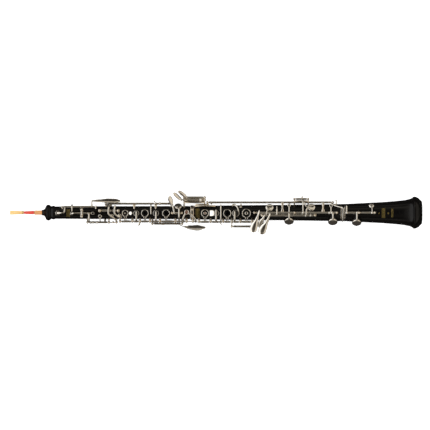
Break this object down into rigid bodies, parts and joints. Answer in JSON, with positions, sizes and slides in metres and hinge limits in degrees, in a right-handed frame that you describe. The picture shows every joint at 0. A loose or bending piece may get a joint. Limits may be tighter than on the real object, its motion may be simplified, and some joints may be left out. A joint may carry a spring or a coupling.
{
  "type": "oboe",
  "caption": "Full-system oboe with reed: bored blackwood body in two joints and a flared bell, silvered posts, rods, finger rings, cups and levers that hinge.",
  "frame": {"origin": "on the surface it lies on, under the middle of the instrument's length and width", "axes": "+X along the bore from the reed to the bell, +Z out of the tone-hole side, +Y towards the left little finger's levers; the bore axis is 25 mm above the origin"},
  "size_m": [0.6404, 0.069, 0.05],
  "materials": {
    "blackwood": "oiled and polished near-black hardwood",
    "keys": "polished warm silver plate",
    "posts": "polished silver plate on posts and steel rods",
    "rings": "polished silver plate rings",
    "cork": "matt natural cork",
    "cane": "scraped cane",
    "thread": "waxed nylon thread winding",
    "staple": "drawn brass tube"
  },
  "bodies": {
    "root": {"upper_joint": "blackwood", "lower_joint": "blackwood", "bell": "blackwood", "middle_ring": "rings", "bell_ring": "rings", "upper_tenon_cork": "cork", "bell_tenon_cork": "cork", "thumb_rest": "posts", "side_octave_rod": "posts", "octave_pivot_posts": "posts", "thumb_octave_rod": "posts", "trill_pivot_rod": "posts", "upper_top_rod": "posts", "left_stack_rod": "posts", "g_sharp_rod": "posts", "side_trill_rod": "posts", "left_pinky_rods": "posts", "lower_top_rod": "posts", "right_stack_rod": "posts", "foot_centre_rod": "posts", "foot_side_rod": "posts", "upper_side_rod": "posts", "bell_rod": "posts"},
    "reed": {"reed_blade_front": "cane", "reed_blade_back": "cane", "reed_thread": "thread", "reed_staple": "staple", "reed_cork": "cork"},
    "side_octave_key": {"side_octave_key": "keys"},
    "thumb_octave_key": {"thumb_octave_key": "keys"},
    "first_octave_lever": {"first_octave_lever": "keys"},
    "trill_touch_key": {"trill_touch_key": "keys"},
    "trill_lever_left": {"trill_lever_left": "keys"},
    "trill_lever_right": {"trill_lever_right": "keys"},
    "half_hole_plate": {"half_hole_plate": "keys"},
    "left_cup_b": {"left_cup_b": "keys"},
    "left_ring_a": {"left_ring_a": "keys"},
    "left_cup_c": {"left_cup_c": "keys"},
    "left_ring_g": {"left_ring_g": "keys"},
    "g_sharp_touch": {"g_sharp_touch": "keys"},
    "g_sharp_cup": {"g_sharp_cup": "keys"},
    "bridge_wishbone": {"bridge_wishbone": "keys"},
    "side_trill_paddle": {"side_trill_paddle": "keys"},
    "left_pinky_low": {"left_pinky_low": "keys"},
    "left_pinky_high": {"left_pinky_high": "keys"},
    "long_link_key": {"long_link_key": "keys"},
    "right_ring_f_sharp": {"right_ring_f_sharp": "keys"},
    "right_plate": {"right_plate": "keys"},
    "bridge_strip": {"bridge_strip": "keys"},
    "right_ring_e": {"right_ring_e": "keys"},
    "right_cup_f": {"right_cup_f": "keys"},
    "right_ring_d": {"right_ring_d": "keys"},
    "f_link_key": {"f_link_key": "keys"},
    "low_c_key": {"low_c_key": "keys"},
    "e_flat_key": {"e_flat_key": "keys"},
    "low_c_sharp_key": {"low_c_sharp_key": "keys"},
    "low_b_key": {"low_b_key": "keys"},
    "upper_side_lever": {"upper_side_lever": "keys"},
    "low_b_flat_key": {"low_b_flat_key": "keys"},
    "bell_vent_key": {"bell_vent_key": "keys"}
  },
  "joints": [
    {"name": "reed_pull", "type": "slide", "parent": "root", "child": "reed", "axis": [-1, 0, 0], "range_m": [0, 0.025]},
    {"name": "side_octave_key_hinge", "type": "hinge", "parent": "root", "child": "side_octave_key", "pos_m": [-0.212, 0.009, 0.035], "axis": [-1, 0, 0], "range_deg": [0, 7], "stiffness_Nm_per_rad": 0.006, "springref_deg": -34.38},
    {"name": "thumb_octave_key_hinge", "type": "hinge", "parent": "root", "child": "thumb_octave_key", "pos_m": [-0.183, -0.0151, 0.027], "axis": [1, 0, 0], "range_deg": [0, 6], "stiffness_Nm_per_rad": 0.006, "springref_deg": -34.38},
    {"name": "first_octave_lever_hinge", "type": "hinge", "parent": "root", "child": "first_octave_lever", "pos_m": [-0.2082, -0.0008, 0.039], "axis": [0, 1, 0], "range_deg": [0, 8], "stiffness_Nm_per_rad": 0.002, "springref_deg": -34.38},
    {"name": "trill_touch_key_hinge", "type": "hinge", "parent": "root", "child": "trill_touch_key", "pos_m": [-0.132, 0.014, 0.03], "axis": [1, 0, 0], "range_deg": [0, 6], "stiffness_Nm_per_rad": 0.006, "springref_deg": -34.38},
    {"name": "trill_lever_left_hinge", "type": "hinge", "parent": "root", "child": "trill_lever_left", "pos_m": [-0.1703, 0.003, 0.0386], "axis": [-1, 0, 0], "range_deg": [0, 6], "stiffness_Nm_per_rad": 0.002, "springref_deg": -34.38},
    {"name": "trill_lever_right_hinge", "type": "hinge", "parent": "root", "child": "trill_lever_right", "pos_m": [-0.1579, 0.003, 0.0386], "axis": [-1, 0, 0], "range_deg": [0, 6], "stiffness_Nm_per_rad": 0.006, "springref_deg": -34.38},
    {"name": "half_hole_plate_hinge", "type": "hinge", "parent": "root", "child": "half_hole_plate", "pos_m": [-0.1392, -0.0138, 0.0309], "axis": [-1, 0, 0], "range_deg": [0, 5.5], "stiffness_Nm_per_rad": 0.006, "springref_deg": -34.38},
    {"name": "left_cup_b_hinge", "type": "hinge", "parent": "root", "child": "left_cup_b", "pos_m": [-0.1238, -0.0138, 0.0309], "axis": [-1, 0, 0], "range_deg": [0, 5.5], "stiffness_Nm_per_rad": 0.002, "springref_deg": -34.38},
    {"name": "left_ring_a_hinge", "type": "hinge", "parent": "root", "child": "left_ring_a", "pos_m": [-0.1102, -0.0138, 0.0309], "axis": [-1, 0, 0], "range_deg": [0, 5.5], "stiffness_Nm_per_rad": 0.006, "springref_deg": -34.38},
    {"name": "left_cup_c_hinge", "type": "hinge", "parent": "root", "child": "left_cup_c", "pos_m": [-0.0947, -0.0138, 0.0309], "axis": [-1, 0, 0], "range_deg": [0, 5.5], "stiffness_Nm_per_rad": 0.002, "springref_deg": -34.38},
    {"name": "left_ring_g_hinge", "type": "hinge", "parent": "root", "child": "left_ring_g", "pos_m": [-0.076, -0.0138, 0.0309], "axis": [-1, 0, 0], "range_deg": [0, 5.5], "stiffness_Nm_per_rad": 0.006, "springref_deg": -34.38},
    {"name": "g_sharp_touch_hinge", "type": "hinge", "parent": "root", "child": "g_sharp_touch", "pos_m": [-0.0605, -0.0009, 0.0393], "axis": [-1, 0, 0], "range_deg": [0, 6], "stiffness_Nm_per_rad": 0.006, "springref_deg": -34.38},
    {"name": "g_sharp_cup_hinge", "type": "hinge", "parent": "root", "child": "g_sharp_cup", "pos_m": [-0.0579, -0.0138, 0.0309], "axis": [1, 0, 0], "range_deg": [0, 5], "stiffness_Nm_per_rad": 0.002, "springref_deg": -34.38},
    {"name": "bridge_wishbone_hinge", "type": "hinge", "parent": "root", "child": "bridge_wishbone", "pos_m": [-0.0409, -0.0138, 0.0309], "axis": [-1, 0, 0], "range_deg": [0, 5.5], "stiffness_Nm_per_rad": 0.002, "springref_deg": -34.38},
    {"name": "side_trill_paddle_hinge", "type": "hinge", "parent": "root", "child": "side_trill_paddle", "pos_m": [-0.0757, -0.0172, 0.0235], "axis": [1, 0, 0], "range_deg": [0, 8], "stiffness_Nm_per_rad": 0.006, "springref_deg": -34.38},
    {"name": "left_pinky_low_hinge", "type": "hinge", "parent": "root", "child": "left_pinky_low", "pos_m": [-0.0335, 0.0196, 0.0345], "axis": [-1, 0, 0], "range_deg": [0, 8], "stiffness_Nm_per_rad": 0.006, "springref_deg": -34.38},
    {"name": "left_pinky_high_hinge", "type": "hinge", "parent": "root", "child": "left_pinky_high", "pos_m": [-0.0335, 0.0236, 0.0365], "axis": [-1, 0, 0], "range_deg": [0, 8], "stiffness_Nm_per_rad": 0.006, "springref_deg": -34.38},
    {"name": "long_link_key_hinge", "type": "hinge", "parent": "root", "child": "long_link_key", "pos_m": [0.084, 0.0159, 0.032], "axis": [-1, 0, 0], "range_deg": [0, 4], "stiffness_Nm_per_rad": 0.002, "springref_deg": -34.38},
    {"name": "right_ring_f_sharp_hinge", "type": "hinge", "parent": "root", "child": "right_ring_f_sharp", "pos_m": [-0.0173, -0.0144, 0.0314], "axis": [-1, 0, 0], "range_deg": [0, 5.5], "stiffness_Nm_per_rad": 0.006, "springref_deg": -34.38},
    {"name": "right_plate_hinge", "type": "hinge", "parent": "root", "child": "right_plate", "pos_m": [-0.0007, -0.0144, 0.0314], "axis": [-1, 0, 0], "range_deg": [0, 5.5], "stiffness_Nm_per_rad": 0.002, "springref_deg": -34.38},
    {"name": "bridge_strip_hinge", "type": "hinge", "parent": "root", "child": "bridge_strip", "pos_m": [0.007, -0.0144, 0.0314], "axis": [-1, 0, 0], "range_deg": [0, 3], "stiffness_Nm_per_rad": 0.002, "springref_deg": -34.38},
    {"name": "right_ring_e_hinge", "type": "hinge", "parent": "root", "child": "right_ring_e", "pos_m": [0.0179, -0.0144, 0.0314], "axis": [-1, 0, 0], "range_deg": [0, 5.5], "stiffness_Nm_per_rad": 0.006, "springref_deg": -34.38},
    {"name": "right_cup_f_hinge", "type": "hinge", "parent": "root", "child": "right_cup_f", "pos_m": [0.0313, -0.0144, 0.0314], "axis": [-1, 0, 0], "range_deg": [0, 5.5], "stiffness_Nm_per_rad": 0.002, "springref_deg": -34.38},
    {"name": "right_ring_d_hinge", "type": "hinge", "parent": "root", "child": "right_ring_d", "pos_m": [0.0472, -0.0144, 0.0314], "axis": [-1, 0, 0], "range_deg": [0, 5.5], "stiffness_Nm_per_rad": 0.006, "springref_deg": -34.38},
    {"name": "f_link_key_hinge", "type": "hinge", "parent": "root", "child": "f_link_key", "pos_m": [0.0404, -0.0215, 0.0275], "axis": [1, 0, 0], "range_deg": [0, 5.5]},
    {"name": "low_c_key_hinge", "type": "hinge", "parent": "root", "child": "low_c_key", "pos_m": [0.0908, -0.0002, 0.0426], "axis": [1, 0, 0], "range_deg": [0, 4.5], "stiffness_Nm_per_rad": 0.006, "springref_deg": -34.38},
    {"name": "e_flat_key_hinge", "type": "hinge", "parent": "root", "child": "e_flat_key", "pos_m": [0.0766, -0.0044, 0.0412], "axis": [1, 0, 0], "range_deg": [0, 6], "stiffness_Nm_per_rad": 0.006, "springref_deg": -34.38},
    {"name": "low_c_sharp_key_hinge", "type": "hinge", "parent": "root", "child": "low_c_sharp_key", "pos_m": [0.116, -0.0044, 0.0412], "axis": [1, 0, 0], "range_deg": [0, 5], "stiffness_Nm_per_rad": 0.006, "springref_deg": -34.38},
    {"name": "low_b_key_hinge", "type": "hinge", "parent": "root", "child": "low_b_key", "pos_m": [0.1547, -0.0002, 0.0426], "axis": [1, 0, 0], "range_deg": [0, 4], "stiffness_Nm_per_rad": 0.002, "springref_deg": -34.38},
    {"name": "upper_side_lever_hinge", "type": "hinge", "parent": "root", "child": "upper_side_lever", "pos_m": [0.1325, 0.0212, 0.0336], "axis": [-1, 0, 0], "range_deg": [0, 4], "stiffness_Nm_per_rad": 0.002, "springref_deg": -34.38},
    {"name": "low_b_flat_key_hinge", "type": "hinge", "parent": "root", "child": "low_b_flat_key", "pos_m": [0.21, -0.0002, 0.0443], "axis": [1, 0, 0], "range_deg": [0, 4], "stiffness_Nm_per_rad": 0.002, "springref_deg": -34.38},
    {"name": "bell_vent_key_hinge", "type": "hinge", "parent": "root", "child": "bell_vent_key", "pos_m": [0.2342, -0.0002, 0.0443], "axis": [1, 0, 0], "range_deg": [0, 4], "stiffness_Nm_per_rad": 0.002, "springref_deg": -34.38}
  ],
  "couplings": [
    {"joint": "first_octave_lever_hinge", "follows": "thumb_octave_key_hinge", "ratio": 1.2},
    {"joint": "trill_lever_left_hinge", "follows": "trill_touch_key_hinge", "ratio": 1},
    {"joint": "left_cup_b_hinge", "follows": "left_ring_a_hinge", "ratio": 1},
    {"joint": "left_cup_c_hinge", "follows": "left_ring_g_hinge", "ratio": 1},
    {"joint": "g_sharp_cup_hinge", "follows": "g_sharp_touch_hinge", "ratio": 0.8},
    {"joint": "bridge_wishbone_hinge", "follows": "right_ring_f_sharp_hinge", "ratio": 1},
    {"joint": "long_link_key_hinge", "follows": "left_pinky_high_hinge", "ratio": 0.5},
    {"joint": "right_plate_hinge", "follows": "right_ring_f_sharp_hinge", "ratio": 1},
    {"joint": "bridge_strip_hinge", "follows": "right_ring_e_hinge", "ratio": 0.5},
    {"joint": "right_cup_f_hinge", "follows": "right_ring_e_hinge", "ratio": 1},
    {"joint": "f_link_key_hinge", "follows": "right_ring_d_hinge", "ratio": 1},
    {"joint": "low_b_key_hinge", "follows": "left_pinky_low_hinge", "ratio": 0.5},
    {"joint": "upper_side_lever_hinge", "follows": "left_pinky_low_hinge", "ratio": 0.5},
    {"joint": "low_b_flat_key_hinge", "follows": "left_pinky_high_hinge", "ratio": 0.5},
    {"joint": "bell_vent_key_hinge", "follows": "left_pinky_high_hinge", "ratio": 0.5}
  ]
}
